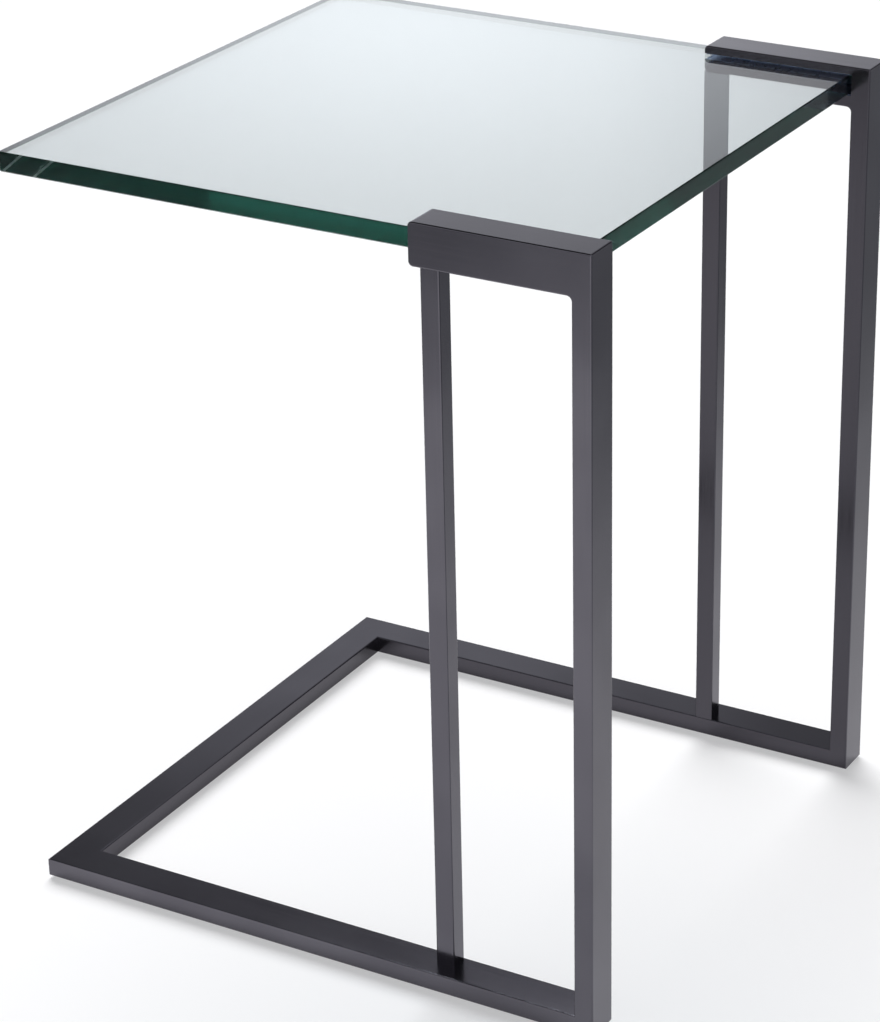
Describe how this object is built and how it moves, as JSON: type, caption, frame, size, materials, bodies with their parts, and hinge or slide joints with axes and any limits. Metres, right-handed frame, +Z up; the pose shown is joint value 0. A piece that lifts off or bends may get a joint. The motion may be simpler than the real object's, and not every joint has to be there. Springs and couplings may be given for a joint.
{
  "type": "side table",
  "caption": "C-shaped side table: square steel-tube frame with paired uprights at the rear, whose slotted clamp heads hold a thick cantilevered glass top.",
  "frame": {"origin": "on the floor, at the centre of the table's bounding box seen from above", "axes": "+X from the open front towards the uprights at the rear, +Y from the right-hand frame to the left-hand frame (seen from the open front), +Z up"},
  "size_m": [0.48, 0.475, 0.6],
  "materials": {
    "dark_nickel_steel": "satin black nickel plate",
    "float_glass": "clear float glass, polished edges",
    "clear_liner": "clear soft PVC",
    "screw_steel": "black oxide",
    "foot_rubber": "matt"
  },
  "bodies": {
    "root": {"front_cross_bar": "dark_nickel_steel", "right_base_rail": "dark_nickel_steel", "left_base_rail": "dark_nickel_steel", "right_rear_upright": "dark_nickel_steel", "left_rear_upright": "dark_nickel_steel", "right_inner_upright": "dark_nickel_steel", "left_inner_upright": "dark_nickel_steel", "right_clamp_head": "dark_nickel_steel", "left_clamp_head": "dark_nickel_steel", "glass_top": "float_glass", "right_glass_liner": "clear_liner", "left_glass_liner": "clear_liner", "right_clamp_screws": "screw_steel", "left_clamp_screws": "screw_steel", "front_right_foot_pad": "foot_rubber", "front_left_foot_pad": "foot_rubber", "rear_right_foot_pad": "foot_rubber", "rear_left_foot_pad": "foot_rubber"}
  },
  "joints": []
}
